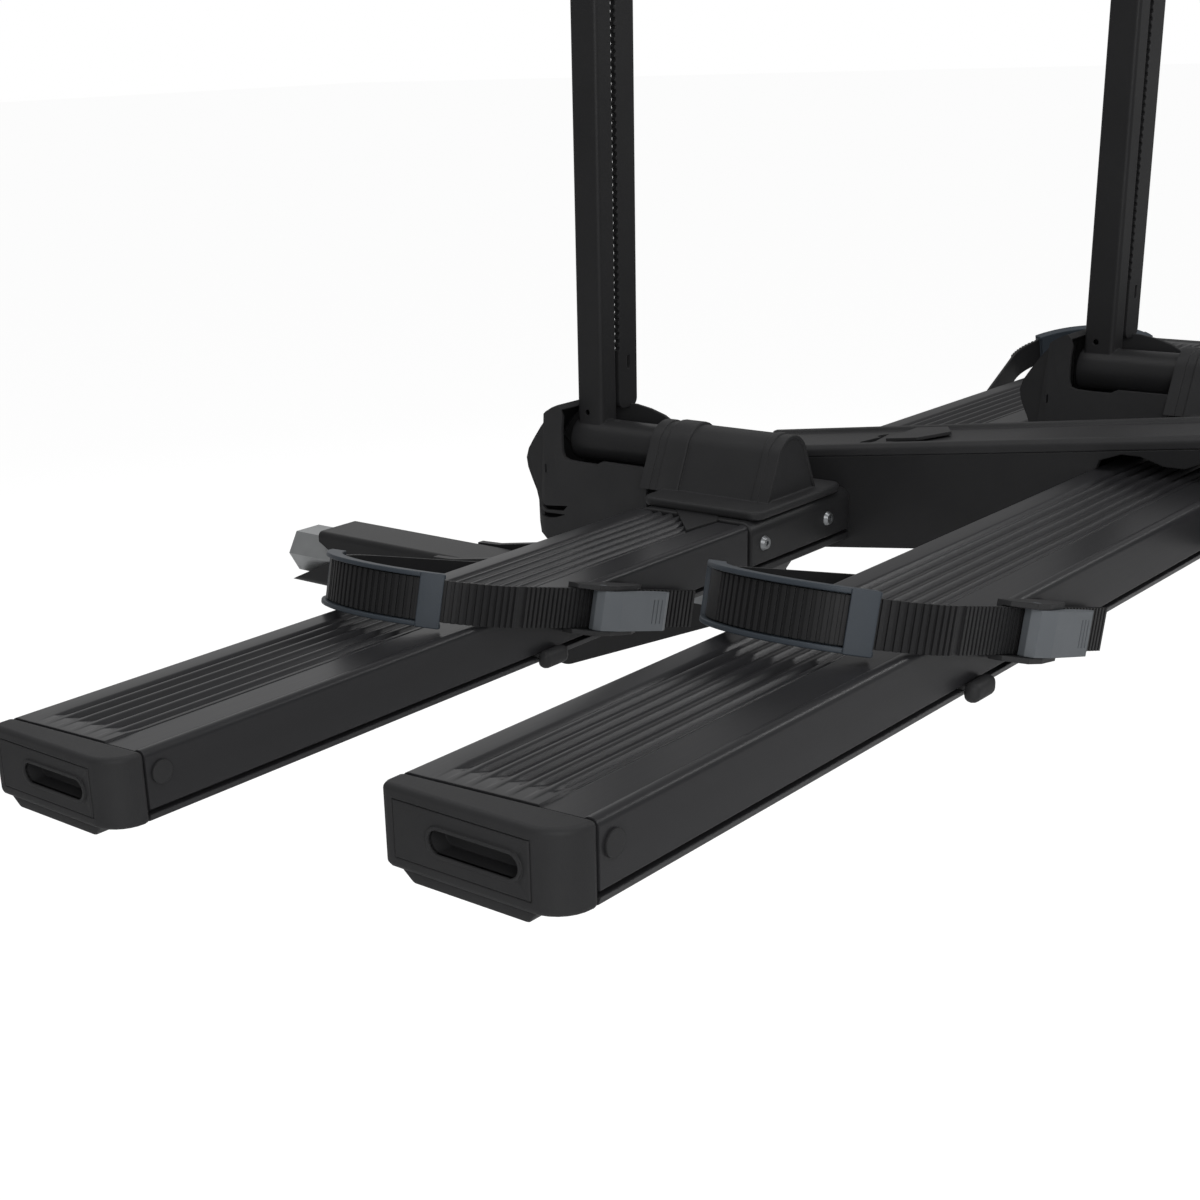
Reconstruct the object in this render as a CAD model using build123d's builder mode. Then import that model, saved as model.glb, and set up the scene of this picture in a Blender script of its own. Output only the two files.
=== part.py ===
from build123d import *
from math import atan2, cos, degrees, radians, sin
import os

os.makedirs("parts", exist_ok=True)

# Hitch platform bike rack, in millimetres. The origin is the centre of the hitch pin hole.
# X runs along the trays, Y points to the vehicle and Z is up.

# Clearances
seat_gap = 0.3
pin_gap = 0.05
slide_gap = 0.3

# Hitch shank, its wedge and the pin hole
shank_width = 50.8
shank_wall = 6.35
shank_corner = 5.0
shank_front = 127.0
shank_back = -150.0
notch_top = 86.0
notch_root = 63.0
pin_hole_radius = 8.0
wedge_rod_radius = 4.0
wedge_rod_drop = 13.5
wedge_length = 92.0
wedge_height = 36.0

# Yoke and tilt pivot
pivot_y = -338.0
pivot_z = 44.0
cheek_thickness = 6.3
cheek_radius = 30.0
hub_radius = 25.0
pivot_radius = 7.0
pivot_head_radius = 12.0
pivot_head_height = 8.0
neck_front = -60.0
belly_y = -200.0
belly_z = -22.0
belly_radius = 21.0

# Trays
tray_width = 90.0
tray_height = 35.0
tray_half_length = 670.0
tray_side_wall = 6.0
tray_top_wall = 5.5
tray_bottom_wall = 3.5
tray_top_corner = 8.0
tray_bottom_corner = 4.0
first_tray_y = -417.0
first_crest = 135.5
tray_spacing = 259.0
tray_step = 32.5
rib_groove_count = 6
rib_groove_pitch = 8.2
rib_valley_mouth = 6.2
rib_valley_floor = 3.4
rib_groove_depth = 2.2
rib_zone_edge = 36.0
rib_fade = 45.0
side_groove_drop = 29.5
side_groove_height = 2.6
side_groove_depth = 4.0

# End caps
cap_length = 20.0
cap_seam_slant = 7.0
cap_corner = 19.0
cap_edge_round = 3.0
panel_width = 64.0
panel_height = 27.0
panel_depth = 2.0
panel_corner = 5.0
slot_length = 44.0
slot_height = 10.0
slot_depth = 6.0
plug_radius = 5.75
plug_x = 641.5
plug_drop = 12.0
plug_proud = 1.2

# Spine beam
spine_width = 80.0
spine_wall = 4.0
spine_front = -354.0
spine_back = -790.0
seam_y = -477.0
seam_z = 159.0
spine_slope = 0.128
spine_depth = 63.5
spine_cap_height = 8.0
spine_cap_wall = 2.5
belly_plate_thickness = 2.5
belly_plate_front = -458.0
plate_seat = 1.5
hand_slot_start = 105.0
hand_slot_length = 14.0
hand_slot_width = 22.0
plate_start = 126.0
plate_length = 38.0
plate_width = 44.0
end_cap_length = 12.0
tray_hole_gap = 0.5

# Brackets that join the trays, and their stations
bracket_length = 120.0
bracket_wall = 4.5
bracket_gap = 4.5
spigot_length = 40.0
spigot_wall = 3.0
bracket_screw_radius = 5.0
bracket_screw_height = 2.6
bracket_screw_shank = 2.5
bracket_screw_drop = 15.5
bracket_screws_x = (-45.0, 32.0)
station_a_x = -100.0
station_b_x = 154.0

# Mast stations
axle_radius = 15.0
axle_bore = 15.05
axle_wall = 3.0
axle_rise = 26.5
axle_front = 137.5
dome_front = 66.0
dome_back = 26.0
flange_back = 34.0
dome_radius = 19.0
dome_foot_width = 66.0
flange_width = 115.0
flange_thickness = 6.0
mast_offset = 125.0
mast_width = 18.0
mast_depth = 22.0
mast_wall = 2.0
mast_height = 620.0
bar_width = 21.0
bar_thickness = 4.0
bar_gap = 2.0
bar_start = 20.0
tooth_pitch = 5.0
tooth_depth = 2.2
slider_height = 62.0
slider_wall = 3.5
slider_travel = 250.0
hook_reach = 120.0
hook_radius = 6.0
hook_shift = 3.0

# Guards round the mast feet
guard_wall = 2.5
guard_near = 25.0
guard_far = 27.0

# Wheel straps
strap_lean = 14.3
strap_width = 22.5
strap_core = 2.0
strap_radius = 60.0
strap_leg = 49.0
strap_tail = 117.0
strap_return = 104.0
strap_return_turn = 10.0
rung_pitch = 4.0
rung_width = 2.2
rung_height = 1.3
strap_stand_off = 5.5
strap_drop = 7.5
strap_near_x = -347.0
strap_far_x = 400.0
guide_height = 29.0
guide_wall = 2.4
guide_start = 118.0
guide_sweep = 106.0
buckle_length = 58.0
buckle_wall = 2.6
lever_length = 64.0
lever_pivot_x = 12.0
lever_pivot_y = 8.5
lever_pin_radius = 2.0

half_shank = shank_width / 2
shank_bore = shank_width - 2 * shank_wall
cheek_outer = half_shank + cheek_thickness
half_tray = tray_width / 2
half_spine = spine_width / 2
lean = radians(strap_lean)


def seam_height(y):
    return seam_z + spine_slope * (seam_y - y)


def crest_of(row):
    return first_crest + row * tray_step


def centre_of(row):
    return first_tray_y - row * tray_spacing


# Hitch shank: square tube, cross hole for the hitch pin, front end cut to a leaning notch
with BuildPart() as shank:
    with BuildSketch(Plane.XZ.offset(-shank_front)):
        RectangleRounded(shank_width, shank_width, shank_corner)
        RectangleRounded(shank_bore, shank_bore, shank_corner / 2, mode=Mode.SUBTRACT)
    extrude(amount=shank_front - shank_back)
    with BuildSketch(Plane.YZ):
        Circle(pin_hole_radius)
        with BuildLine():
            Polyline(
                (notch_top, half_shank + 1),
                (notch_top, half_shank - 9),
                (notch_root, 4),
                (shank_front + 3, 1.0 - half_shank - 2),
                (shank_front + 3, half_shank + 1),
                close=True,
            )
        make_face()
    extrude(amount=shank_width, both=True, mode=Mode.SUBTRACT)
shank.part.label = "hitch_tube"
export_step(shank.part, "parts/hitch_tube.step")

# Wedge: six-sided bar whose side edges fill the notch
wedge_back = shank_front - wedge_length
wedge_rod_hole = wedge_rod_radius + seat_gap
with BuildPart() as wedge:
    with BuildSketch(Plane.XZ.offset(-shank_front)):
        with BuildLine():
            Polyline(
                (-half_shank + 0.4, 0),
                (-14, wedge_height / 2),
                (14, wedge_height / 2),
                (half_shank - 0.4, 0),
                (14, -wedge_height / 2),
                (-14, -wedge_height / 2),
                close=True,
            )
        make_face()
    extrude(amount=wedge_length)
    with BuildSketch(Plane.YZ.offset(shank_bore / 2 - seat_gap)) as notch_side:
        with BuildLine():
            Polyline(
                (wedge_back - 5, half_shank),
                (notch_top + seat_gap, half_shank),
                (notch_top + seat_gap, half_shank - 9),
                (notch_root + 2 * seat_gap, 4),
                (shank_front + 1, 0.6 - half_shank - 1),
                (shank_front + 1, -half_shank - 3),
                (wedge_back - 5, -half_shank - 3),
                close=True,
            )
        make_face()
    extrude(amount=shank_width, mode=Mode.SUBTRACT)
    with BuildSketch(Plane.YZ.offset(seat_gap - shank_bore / 2)):
        add(notch_side.sketch_local)
    extrude(amount=-shank_width, mode=Mode.SUBTRACT)
    with BuildSketch(Plane.XZ.offset(-wedge_back)):
        with Locations((0, -wedge_rod_drop)):
            Circle(wedge_rod_hole)
    extrude(amount=-40, mode=Mode.SUBTRACT)
wedge.part.label = "anti_rattle_wedge"
export_step(wedge.part, "parts/anti_rattle_wedge.step")

# Rod that draws the wedge into the notch, with its hex head behind the shank
with BuildPart() as wedge_rod:
    with BuildSketch(Plane.XZ.offset(-wedge_back - 39)):
        with Locations((0, -wedge_rod_drop)):
            Circle(wedge_rod_radius)
    extrude(amount=wedge_back + 39 - shank_back + 4)
    with BuildSketch(Plane.XZ.offset(-shank_back)):
        with Locations((0, -wedge_rod_drop)):
            RegularPolygon(6.5, 6, major_radius=False)
    extrude(amount=6)
wedge_rod.part.label = "wedge_rod"
export_step(wedge_rod.part, "parts/wedge_rod.step")

# Yoke: two cheeks welded to the shank, a rounded cross piece behind it and the pivot eyes
with BuildPart() as yoke:
    with BuildSketch(Plane.YZ) as cheek_outline:
        with BuildSketch(mode=Mode.PRIVATE) as eye:
            with Locations((pivot_y, pivot_z)):
                Circle(cheek_radius)
            with Locations((belly_y, belly_z)):
                Circle(belly_radius)
            with Locations((belly_y + 40, 41 - 18)):
                Circle(18)
        make_hull(eye.sketch.edges())
        with BuildLine():
            Polyline(
                (neck_front, half_shank),
                (neck_front, -half_shank),
                (belly_y, belly_z - belly_radius + 1),
                (belly_y + 40, 41 - 2),
                (neck_front - 22, half_shank + 1),
                close=True,
            )
        make_face()
    extrude(amount=cheek_outer, both=True)
    with BuildSketch(Plane.YZ):
        Rectangle(900, 400)
        with Locations((belly_y, belly_z)):
            Circle(belly_radius + 0.01, mode=Mode.SUBTRACT)
    extrude(amount=half_shank, both=True, mode=Mode.SUBTRACT)
    with BuildSketch(Plane.YZ):
        with Locations((pivot_y, pivot_z)):
            Circle(pivot_radius + pin_gap)
    extrude(amount=cheek_outer, both=True, mode=Mode.SUBTRACT)
yoke.part.label = "yoke"
export_step(yoke.part, "parts/yoke.step")

# Tilt pivot: bolt with its nut, two solids
with BuildPart() as pivot_bolt:
    with BuildSketch(Plane.YZ.offset(cheek_outer)):
        with Locations((pivot_y, pivot_z)):
            RegularPolygon(pivot_head_radius, 6, major_radius=False)
    extrude(amount=pivot_head_height)
    with BuildSketch(Plane.YZ.offset(cheek_outer)):
        with Locations((pivot_y, pivot_z)):
            Circle(pivot_radius)
    extrude(amount=-2 * cheek_outer - pivot_head_height - 2)
    with BuildSketch(Plane.YZ.offset(-cheek_outer)):
        with Locations((pivot_y, pivot_z)):
            RegularPolygon(pivot_head_radius, 6, major_radius=False)
            Circle(pivot_radius + pin_gap, mode=Mode.SUBTRACT)
    extrude(amount=-pivot_head_height)
pivot_bolt.part.label = "pivot_bolt"
export_step(pivot_bolt.part, "parts/pivot_bolt.step")

# Spine knuckle: hub on the pivot with an arm bolted between the beam's walls, under tray A
knuckle_top = first_crest - tray_height
arm_front = first_tray_y + half_tray - 2
arm_back = belly_plate_front + 2
with BuildPart() as knuckle:
    with BuildSketch(Plane.YZ):
        with BuildSketch(mode=Mode.PRIVATE) as hub:
            with Locations((pivot_y, pivot_z)):
                Circle(hub_radius)
            with Locations((arm_front - 6, knuckle_top - 7)):
                Circle(6)
            with Locations((arm_front - 20, knuckle_top - 7)):
                Circle(6)
        make_hull(hub.sketch.edges())
    extrude(amount=half_shank - slide_gap, both=True)
    with BuildSketch(Plane.YZ):
        with BuildLine():
            Polyline(
                (arm_front, knuckle_top - 0.5),
                (arm_back, knuckle_top - 0.5),
                (arm_back, seam_height(arm_back) - spine_depth + 1),
                (arm_front, seam_height(arm_front) - spine_depth + 1),
                close=True,
            )
        make_face()
    extrude(amount=half_spine - spine_wall, both=True)
    with BuildSketch(Plane.YZ):
        with Locations((pivot_y, pivot_z)):
            Circle(pivot_radius + pin_gap)
    extrude(amount=spine_width, both=True, mode=Mode.SUBTRACT)
knuckle.part.label = "spine_knuckle"
export_step(knuckle.part, "parts/spine_knuckle.step")


def tray_outline(row, grow=0.0):
    """Outline of a tray's section on the YZ plane, grown by a clearance."""
    with BuildSketch(mode=Mode.PRIVATE) as outline:
        with Locations((centre_of(row), crest_of(row) - tray_height / 2)):
            Rectangle(tray_width, tray_height)
        upper = outline.vertices().group_by(Axis.Y)[-1]
        lower = outline.vertices().group_by(Axis.Y)[0]
        fillet(upper, tray_top_corner)
        fillet(lower, tray_bottom_corner)
        if grow:
            offset(amount=grow)
    return outline.sketch


def rib_valley(valley_y, crest, share=1.0):
    """Section of a valley between two ribs, made smaller by a share where it runs out."""
    half_mouth = share * rib_valley_mouth / 2
    half_floor = share * rib_valley_floor / 2
    with BuildSketch(mode=Mode.PRIVATE) as valley:
        with BuildLine():
            Polyline(
                (valley_y - half_mouth, crest + 1),
                (valley_y - half_mouth, crest),
                (valley_y - half_floor, crest - share * rib_groove_depth),
                (valley_y + half_floor, crest - share * rib_groove_depth),
                (valley_y + half_mouth, crest),
                (valley_y + half_mouth, crest + 1),
                close=True,
            )
        make_face()
    return valley.sketch


cavity_width = tray_width - 2 * tray_side_wall
cavity_height = tray_height - tray_top_wall - tray_bottom_wall
cavity_drop = tray_top_wall + cavity_height / 2

# Spine beam: two walls under a top web, with holes for the trays
front_seam = seam_height(spine_front)
back_seam = seam_height(spine_back)
with BuildPart() as spine_shell:
    with BuildSketch(Plane.YZ):
        with BuildLine():
            Polyline(
                (spine_front, front_seam),
                (spine_back, back_seam),
                (spine_back, back_seam - spine_depth),
                (spine_front, front_seam - spine_depth),
                close=True,
            )
        make_face()
    extrude(amount=half_spine, both=True)
    with BuildSketch(Plane.YZ):
        with BuildLine():
            Polyline(
                (spine_front + 5, front_seam - spine_wall),
                (spine_back - 5, back_seam - spine_wall),
                (spine_back - 5, back_seam - spine_depth - 9),
                (spine_front + 5, front_seam - spine_depth - 9),
                close=True,
            )
        make_face()
    extrude(amount=half_spine - spine_wall, both=True, mode=Mode.SUBTRACT)
    with BuildSketch(Plane.YZ):
        add(tray_outline(0, tray_hole_gap))
    extrude(amount=spine_width, mode=Mode.SUBTRACT)
    with BuildSketch(Plane.YZ):
        with Locations((centre_of(0), first_crest - cavity_drop)):
            Rectangle(cavity_width, cavity_height)
    extrude(amount=-spine_width, mode=Mode.SUBTRACT)
    with BuildSketch(Plane.YZ):
        add(tray_outline(1, tray_hole_gap))
        with BuildLine():
            arch_y = centre_of(1)
            arch_z = crest_of(1)
            Polyline(
                (arch_y + half_tray + tray_hole_gap, arch_z - 12),
                (arch_y + half_tray + tray_hole_gap - 6, arch_z + 6),
                (arch_y + 26, arch_z + 11),
                (arch_y + 14, arch_z + 11),
                (arch_y - 1, arch_z + 6.5),
                (arch_y - 14, arch_z + 6.5),
                (arch_y - 24, arch_z + 11),
                (arch_y - half_tray - tray_hole_gap + 6, arch_z + 8),
                (arch_y - half_tray - tray_hole_gap, arch_z - 12),
                close=True,
            )
        make_face()
    extrude(amount=spine_width, both=True, mode=Mode.SUBTRACT)
spine_shell.part.label = "spine_shell"
export_step(spine_shell.part, "parts/spine_shell.step")

# Spine top cover: channel with rounded shoulders on the seam, a hand slot and a seat for a plate
slope_angle = degrees(atan2(spine_slope, 1))
cover_length = (spine_front - spine_back) / cos(radians(slope_angle))
cover_plane = Plane(origin=(0, spine_front, front_seam), x_dir=(1, 0, 0), z_dir=(0, -1, spine_slope))
cover_top = Plane(origin=(0, spine_front, front_seam), x_dir=(1, 0, 0), z_dir=(0, spine_slope, 1))
with BuildPart() as spine_cap:
    with BuildSketch(cover_plane) as cap_section:
        with Locations((0, spine_cap_height / 2)):
            Rectangle(spine_width, spine_cap_height)
        fillet(cap_section.vertices().group_by(Axis.Y)[-1], spine_cap_height - 2)
        with Locations((0, (spine_cap_height - spine_cap_wall) / 2)):
            Rectangle(spine_width - 12, spine_cap_height - spine_cap_wall, mode=Mode.SUBTRACT)
    extrude(amount=cover_length)
    with BuildSketch(cover_top):
        with Locations((0, -hand_slot_start)):
            SlotOverall(hand_slot_width, hand_slot_length * 0.6)
    extrude(amount=spine_cap_height + 1, mode=Mode.SUBTRACT)
    with BuildSketch(cover_top.offset(spine_cap_height - plate_seat)):
        with Locations((0, -plate_start - plate_length / 2)):
            Rectangle(plate_width, plate_length)
    extrude(amount=spine_cap_height, mode=Mode.SUBTRACT)
spine_cap.part.label = "spine_cap"
export_step(spine_cap.part, "parts/spine_cap.step")

# Plate let into the top cover, pointed at its outer end
with BuildPart() as cover_plate:
    with BuildSketch(cover_top.offset(spine_cap_height - plate_seat)):
        with BuildLine():
            half_plate = plate_width / 2 - seat_gap
            near_edge = -plate_start - seat_gap
            far_edge = -plate_start - plate_length + seat_gap
            Polyline(
                (-half_plate, near_edge),
                (half_plate, near_edge),
                (half_plate, far_edge + 14),
                (0, far_edge),
                (-half_plate, far_edge + 14),
                close=True,
            )
        make_face()
    extrude(amount=plate_seat + 0.6)
cover_plate.part.label = "spine_cover_plate"
export_step(cover_plate.part, "parts/spine_cover_plate.step")

# Belly plate: closes the beam from below, between its walls
with BuildPart() as belly:
    with BuildSketch(Plane.YZ):
        with BuildLine():
            belly_front_z = seam_height(belly_plate_front) - spine_depth
            belly_back_z = back_seam - spine_depth
            Polyline(
                (belly_plate_front, belly_front_z),
                (spine_back, belly_back_z),
                (spine_back, belly_back_z + belly_plate_thickness),
                (belly_plate_front, belly_front_z + belly_plate_thickness),
                close=True,
            )
        make_face()
    extrude(amount=half_spine - spine_wall, both=True)
belly.part.label = "spine_belly"
export_step(belly.part, "parts/spine_belly.step")

# Outer end of the beam: moulded cap with a plug that fits inside the walls
end_plane = Plane(origin=(0, spine_back, back_seam), x_dir=(1, 0, 0), z_dir=(0, -1, 0))
end_height = spine_depth + spine_cap_height
with BuildPart() as spine_end:
    with BuildSketch(end_plane):
        with Locations((0, spine_cap_height - end_height / 2)):
            RectangleRounded(spine_width, end_height, spine_cap_height - 2)
    extrude(amount=end_cap_length)
    fillet(spine_end.faces().sort_by(Axis.Y)[0].edges(), 4)
    with BuildSketch(end_plane):
        with Locations((0, -spine_depth / 2)):
            Rectangle(spine_width - 2 * spine_wall - 1, spine_depth - 2 * spine_wall - 8)
            Rectangle(spine_width - 2 * spine_wall - 7, spine_depth - 2 * spine_wall - 14, mode=Mode.SUBTRACT)
    extrude(amount=-15)
spine_end.part.label = "spine_end_cap"
export_step(spine_end.part, "parts/spine_end_cap.step")

# Trays: hollow ribbed sections, open at the inner end and cut on a slant at the cap
arms = [
    ("a_near", 0, -1, station_a_x - bracket_length / 2 - bracket_gap),
    ("a_far", 0, 1, spine_wall - half_spine + seat_gap),
    ("b_near", 1, -1, station_b_x - bracket_length / 2 - bracket_gap),
    ("b_far", 1, 1, station_b_x + bracket_length / 2 + seat_gap),
]
rib_ends = {"a_near": None, "a_far": 52.0, "b_near": -6.0, "b_far": 226.0}
for name, row, side, inner_end in arms:
    tray_y = centre_of(row)
    crest = crest_of(row)
    seam_low = side * (tray_half_length - cap_length)
    seam_high = side * (tray_half_length - cap_length + cap_seam_slant)
    with BuildPart() as tray:
        with BuildSketch(Plane.YZ.offset(inner_end)):
            add(tray_outline(row))
            with Locations((tray_y, crest - cavity_drop)):
                Rectangle(cavity_width, cavity_height, mode=Mode.SUBTRACT)
        extrude(amount=seam_high - inner_end)
        with BuildSketch(Plane.XY.offset(crest + 1)):
            with BuildLine():
                Polyline(
                    (seam_low, tray_y - half_tray - 1),
                    (seam_low, tray_y - half_tray),
                    (seam_high, tray_y + half_tray),
                    (seam_high, tray_y + half_tray + 1),
                    (seam_high + side * 5, tray_y + half_tray + 1),
                    (seam_high + side * 5, tray_y - half_tray - 1),
                    close=True,
                )
            make_face()
        extrude(amount=-tray_height - 2, mode=Mode.SUBTRACT)
        for edge in (-1, 1):
            with BuildSketch(Plane.YZ.offset(inner_end - side)):
                with Locations((tray_y + edge * (half_tray - side_groove_depth / 2 + 1), crest - side_groove_drop)):
                    Rectangle(side_groove_depth + 2, side_groove_height)
            extrude(amount=side * (tray_half_length - 40) - inner_end + side, mode=Mode.SUBTRACT)
        for groove in range(rib_groove_count):
            groove_y = tray_y + rib_zone_edge - groove * rib_groove_pitch
            outer = side * (tray_half_length - cap_length - 25)
            if rib_ends[name] is None:
                stop = min(inner_end + 20, -142 + 0.81 * (groove_y - tray_y - 39))
            else:
                stop = rib_ends[name]
            fade = outer - side * rib_fade
            with BuildSketch(Plane.YZ.offset(stop)):
                add(rib_valley(groove_y, crest))
            extrude(amount=fade - stop, mode=Mode.SUBTRACT)
            with BuildSketch(Plane.YZ.offset(fade)):
                add(rib_valley(groove_y, crest))
            with BuildSketch(Plane.YZ.offset(outer)):
                add(rib_valley(groove_y, crest, 0.08))
            loft(ruled=True, mode=Mode.SUBTRACT)
    tray.part.label = f"tray_{name}"
    export_step(tray.part, f"parts/tray_{name}.step")

    # End cap: rounded in plan, recessed for its panel, with a plug that fits the tray's cavity
    with BuildPart() as end_cap:
        with BuildSketch(Plane.YZ.offset(seam_low - side * 2)):
            add(tray_outline(row))
        extrude(amount=side * (cap_length + 2))
        with BuildSketch(Plane.XY.offset(crest + 1)) as plan:
            with BuildLine():
                Polyline(
                    (seam_low, tray_y - half_tray),
                    (seam_high, tray_y + half_tray),
                    (side * tray_half_length, tray_y + half_tray),
                    (side * tray_half_length, tray_y - half_tray),
                    close=True,
                )
            make_face()
            corners = plan.vertices().sort_by(Axis.X)[-2:] if side > 0 else plan.vertices().sort_by(Axis.X)[:2]
            fillet(corners.sort_by(Axis.Y)[0], cap_corner)
            fillet(corners.sort_by(Axis.Y)[-1], cap_corner - cap_seam_slant)
        extrude(amount=-tray_height - 2, mode=Mode.INTERSECT)
        end_face = end_cap.faces().filter_by(Axis.X).sort_by(Axis.X)[-1 if side > 0 else 0]
        fillet(end_face.edges().sort_by(Axis.Z)[-1], cap_edge_round)
        with BuildSketch(Plane.YZ.offset(side * tray_half_length)):
            with Locations((tray_y - 2, crest - tray_height / 2)):
                RectangleRounded(panel_width, panel_height, panel_corner)
        extrude(amount=-side * panel_depth, mode=Mode.SUBTRACT)
        with BuildSketch(Plane.YZ.offset(side * tray_half_length)):
            with Locations((tray_y - 2, crest - tray_height / 2)):
                SlotOverall(slot_length, slot_height)
        extrude(amount=-side * (panel_depth + slot_depth), mode=Mode.SUBTRACT)
        with BuildSketch(Plane.YZ.offset(seam_high)):
            with Locations((tray_y, crest - cavity_drop)):
                Rectangle(cavity_width - 2 * seat_gap, cavity_height - 2 * seat_gap)
                Rectangle(cavity_width - 8, cavity_height - 8, mode=Mode.SUBTRACT)
        extrude(amount=-side * (cap_seam_slant + 14))
    end_cap.part.label = f"end_cap_{name}"
    export_step(end_cap.part, f"parts/end_cap_{name}.step")

# Panels in the end caps: a raised rim round a deep slot, four solids
with BuildPart() as end_panels:
    for name, row, side, inner_end in arms:
        face_plane = Plane.YZ.offset(side * (tray_half_length - panel_depth))
        panel_spot = (centre_of(row) - 2, crest_of(row) - tray_height / 2)
        with BuildSketch(face_plane):
            with Locations(panel_spot):
                RectangleRounded(panel_width - 2 * seat_gap, panel_height - 2 * seat_gap, panel_corner - seat_gap)
                SlotOverall(slot_length, slot_height, mode=Mode.SUBTRACT)
        extrude(amount=side * panel_depth)
        with BuildSketch(face_plane):
            with Locations(panel_spot):
                SlotOverall(slot_length + 3, slot_height + 3)
                SlotOverall(slot_length, slot_height, mode=Mode.SUBTRACT)
        extrude(amount=side * (panel_depth + 0.8))
end_panels.part.label = "end_panels"
export_step(end_panels.part, "parts/end_panels.step")

# Round plugs in the outer side of each tray, just inside its cap: four solids
with BuildPart() as side_plugs:
    for name, row, side, inner_end in arms:
        with BuildSketch(Plane.XZ.offset(half_tray - centre_of(row))):
            with Locations((side * plug_x, crest_of(row) - plug_drop)):
                Circle(plug_radius)
        extrude(amount=plug_proud)
side_plugs.part.label = "side_plugs"
export_step(side_plugs.part, "parts/side_plugs.step")

# Tray brackets: hollow blocks of the tray's section with a spigot into each neighbour
stations = [("a", 0, station_a_x), ("b", 1, station_b_x)]
slider_drop = {"a": 95.0, "b": 195.0}
for letter, row, station_x in stations:
    tray_y = centre_of(row)
    crest = crest_of(row)
    near_end = station_x - bracket_length / 2
    spigot_spot = (tray_y, crest - cavity_drop)
    spigot_width = cavity_width - 2 * seat_gap
    spigot_height = cavity_height - 2 * seat_gap
    with BuildPart() as bracket:
        with BuildSketch(Plane.YZ.offset(near_end)):
            add(tray_outline(row))
        extrude(amount=bracket_length)
        fillet(bracket.faces().filter_by(Axis.X).sort_by(Axis.X)[0].edges(), 1.5)
        with BuildSketch(Plane.YZ.offset(near_end - spigot_length)):
            with Locations(spigot_spot):
                RectangleRounded(spigot_width, spigot_height, 2)
        extrude(amount=bracket_length + 2 * spigot_length)
        with BuildSketch(Plane.YZ.offset(near_end - spigot_length)):
            with Locations(spigot_spot):
                Rectangle(spigot_width - 2 * spigot_wall, spigot_height - 2 * spigot_wall)
        extrude(amount=bracket_length + 2 * spigot_length, mode=Mode.SUBTRACT)
        for edge in (-1, 1):
            with BuildSketch(Plane.YZ.offset(near_end)):
                with Locations((tray_y + edge * (half_tray - side_groove_depth / 2 + 1), crest - side_groove_drop)):
                    Rectangle(side_groove_depth + 2, side_groove_height)
            extrude(amount=bracket_length, mode=Mode.SUBTRACT)
        with BuildSketch(Plane.XZ.offset(half_tray - tray_y)):
            for screw_x in bracket_screws_x:
                with Locations((station_x + screw_x, crest - bracket_screw_drop)):
                    Circle(bracket_screw_shank + seat_gap)
        extrude(amount=-tray_side_wall - 6, mode=Mode.SUBTRACT)
    bracket.part.label = f"bracket_{letter}"
    export_step(bracket.part, f"parts/bracket_{letter}.step")

# Button-head screws of the brackets with hex sockets, four solids
with BuildPart() as bracket_screws:
    for letter, row, station_x in stations:
        tray_y = centre_of(row)
        crest = crest_of(row)
        for screw_x in bracket_screws_x:
            head_plane = Plane(
                origin=(station_x + screw_x, tray_y - half_tray, crest - bracket_screw_drop),
                x_dir=(1, 0, 0),
                z_dir=(0, -1, 0),
            )
            with BuildSketch(head_plane):
                Circle(bracket_screw_radius)
            extrude(amount=bracket_screw_height, taper=28)
            with BuildSketch(head_plane):
                Circle(bracket_screw_shank)
            extrude(amount=-9)
            with BuildSketch(head_plane.offset(bracket_screw_height)):
                RegularPolygon(1.6, 6, major_radius=False)
            extrude(amount=-2, mode=Mode.SUBTRACT)
bracket_screws.part.label = "bracket_screws"
export_step(bracket_screws.part, "parts/bracket_screws.step")


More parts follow.
